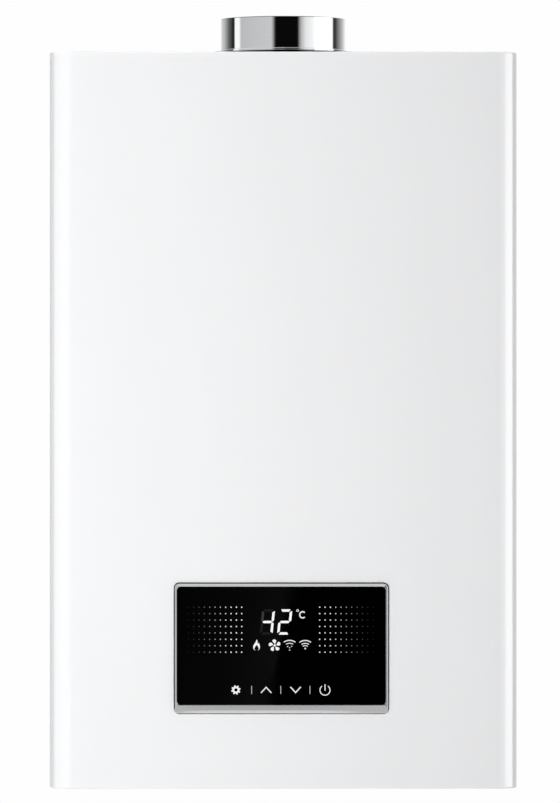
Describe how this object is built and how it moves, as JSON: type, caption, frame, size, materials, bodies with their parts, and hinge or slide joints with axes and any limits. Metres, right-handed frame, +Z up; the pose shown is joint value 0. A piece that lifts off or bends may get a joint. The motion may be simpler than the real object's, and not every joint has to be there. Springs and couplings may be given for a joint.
{
  "type": "gas water heater",
  "caption": "Flat white wall-hung tankless gas water heater with rounded side corners, a polished flue collar on top and a black touch display low on its cover.",
  "frame": {"origin": "centre of the four wall-bolt holes, on the wall plane behind the casing", "axes": "+X to the right seen from the front, +Y into the wall, +Z up"},
  "size_m": [0.375, 0.175, 0.6125],
  "materials": {
    "white_enamel": "gloss white stove enamel on sheet steel",
    "polished_steel": "mirror-polished steel tube",
    "silver_trim": "satin silver moulded frame",
    "black_glass": "black back-printed glass, opaque",
    "galvanised_sheet": "galvanised sheet steel",
    "fastener_steel": "zinc-plated steel",
    "burner_steel": "stainless sheet, heat tinted",
    "motor_enamel": "black enamelled motor shell",
    "copper": "copper sheet and tube",
    "brass": "machined brass",
    "cast_aluminium": "die-cast aluminium",
    "black_rubber": "black moulded rubber",
    "black_plastic": "black moulded plastic",
    "grey_plastic": "light grey moulded plastic",
    "board_green": "lacquered circuit board",
    "white_ceramic": "glazed insulator with a steel wire"
  },
  "bodies": {
    "chassis": {"flue_collar": "polished_steel", "collar_flange": "polished_steel", "back_plate": "galvanised_sheet", "top_plate": "galvanised_sheet", "bottom_plate": "galvanised_sheet", "flue_hood": "galvanised_sheet", "fan_housing": "galvanised_sheet", "fan_inlet_plate": "galvanised_sheet", "chamber_brackets": "galvanised_sheet", "burner_box": "galvanised_sheet", "cover_screws": "fastener_steel", "chassis_screws": "fastener_steel", "collar_screws": "fastener_steel", "motor_screws": "fastener_steel", "turbine_axle": "fastener_steel", "overheat_thermostats": "fastener_steel", "burner_bars": "burner_steel", "inlet_strainer": "burner_steel", "fan_motor": "motor_enamel", "combustion_chamber": "copper", "fin_block": "copper", "exchanger_tube": "copper", "chamber_coil": "copper", "cold_pipe": "copper", "hot_pipe": "copper", "gas_nozzles": "brass", "gas_inlet_fitting": "brass", "cold_inlet_fitting": "brass", "hot_outlet_fitting": "brass", "pipe_nuts": "brass", "drain_plug": "brass", "outlet_sensor": "brass", "gas_valve_body": "cast_aluminium", "gas_manifold": "cast_aluminium", "gas_feed_pipe": "cast_aluminium", "pressure_tube": "cast_aluminium", "collar_gasket": "black_rubber", "shutoff_coil": "black_plastic", "modulating_coil": "black_plastic", "control_lid": "black_plastic", "cord_gland": "black_plastic", "display_plug": "black_plastic", "spark_generator": "black_plastic", "flow_sensor_body": "grey_plastic", "pressure_switch": "grey_plastic", "control_tray": "grey_plastic", "control_board": "board_green", "spark_electrodes": "white_ceramic", "flame_rod": "white_ceramic"},
    "cover": {"front_cover": "white_enamel", "display_bezel": "silver_trim", "display_glass": "black_glass", "display_housing": "black_plastic", "display_board": "board_green"},
    "fan": {"fan_wheel": "galvanised_sheet", "fan_shaft": "fastener_steel"},
    "turbine": {"flow_turbine": "grey_plastic"},
    "shutoff": {"shutoff_plunger": "fastener_steel"},
    "modulator": {"modulating_plunger": "fastener_steel"}
  },
  "joints": [
    {"name": "cover_slide", "type": "slide", "parent": "chassis", "child": "cover", "axis": [0, -1, 0], "range_m": [0, 0.25]},
    {"name": "fan_spin", "type": "hinge", "parent": "chassis", "child": "fan", "pos_m": [0.041, -0.084, 0.2134], "axis": [0, 1, 0], "continuous": true},
    {"name": "turbine_spin", "type": "hinge", "parent": "chassis", "child": "turbine", "pos_m": [0.112, -0.078, -0.203], "axis": [0, 0, 1], "continuous": true},
    {"name": "shutoff_lift", "type": "slide", "parent": "chassis", "child": "shutoff", "axis": [-1, 0, 0], "range_m": [0, 0.003], "stiffness_N_per_m": 600, "springref_m": -0.004},
    {"name": "modulator_lift", "type": "slide", "parent": "chassis", "child": "modulator", "axis": [1, 0, 0], "range_m": [0, 0.003], "stiffness_N_per_m": 400, "springref_m": -0.003}
  ]
}
